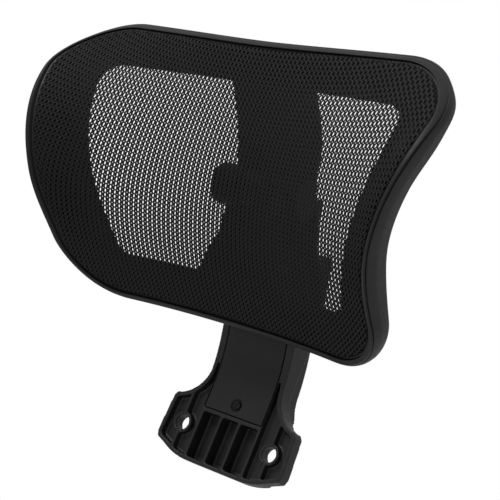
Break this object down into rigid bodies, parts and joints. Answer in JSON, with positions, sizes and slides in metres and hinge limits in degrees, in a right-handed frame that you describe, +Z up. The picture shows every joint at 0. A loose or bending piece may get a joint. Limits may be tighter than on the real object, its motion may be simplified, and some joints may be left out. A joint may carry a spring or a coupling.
{
  "type": "chair headrest attachment",
  "caption": "Curved mesh headrest for an office chair, tilting on a height-adjustable stem above a ribbed foot that screws to the chair's back.",
  "frame": {"origin": "middle of the mounting foot's rear face, halfway between its two screw holes", "axes": "+Y out of the foot's rear face, towards the chair's back; +X across the headrest, to the right as seen from the front; +Z up"},
  "size_m": [0.3014, 0.1815, 0.2599],
  "materials": {
    "bracket_plastic": "moulded nylon, fine spark-eroded grain, satin",
    "cover_plastic": "moulded nylon, fine spark-eroded grain, satin",
    "frame_plastic": "moulded nylon, fine spark-eroded grain, satin",
    "stem_plastic": "glass-filled nylon, satin",
    "hinge_plastic": "moulded nylon, satin",
    "guide_plastic": "acetal, smooth satin",
    "friction_lining": "matt friction lining",
    "mesh_weave": "woven polyester mesh, slight yarn sheen",
    "zinc_steel": "zinc plated",
    "black_screws": "black oxide"
  },
  "bodies": {
    "bracket": {"mounting_bracket": "bracket_plastic", "post_front_cover": "cover_plastic", "cover_screw": "black_screws", "stem_guide_bush": "guide_plastic"},
    "stem": {"height_stem": "stem_plastic", "stem_shoe": "guide_plastic", "shoe_screw": "black_screws", "friction_pad": "friction_lining", "pad_spring": "zinc_steel"},
    "headrest": {"headrest_frame": "frame_plastic", "mesh_fabric": "mesh_weave", "mesh_edge_strip": "hinge_plastic", "tilt_yoke": "hinge_plastic", "yoke_screw_upper_left": "black_screws", "yoke_screw_upper_right": "black_screws", "yoke_screw_lower_left": "black_screws", "yoke_screw_lower_right": "black_screws", "hinge_axle": "zinc_steel", "hinge_lock_nut": "zinc_steel", "spring_washer": "zinc_steel", "friction_washer_left": "friction_lining", "friction_washer_right": "friction_lining", "hinge_end_cap_left": "hinge_plastic", "hinge_end_cap_right": "hinge_plastic"}
  },
  "joints": [
    {"name": "height_slide", "type": "slide", "parent": "bracket", "child": "stem", "axis": [0, -0.342, 0.9397], "range_m": [-0.015, 0.03]},
    {"name": "headrest_tilt", "type": "hinge", "parent": "stem", "child": "headrest", "pos_m": [0, -0.08367, 0.15504], "axis": [1, 0, 0], "range_deg": [-25, 5]}
  ]
}
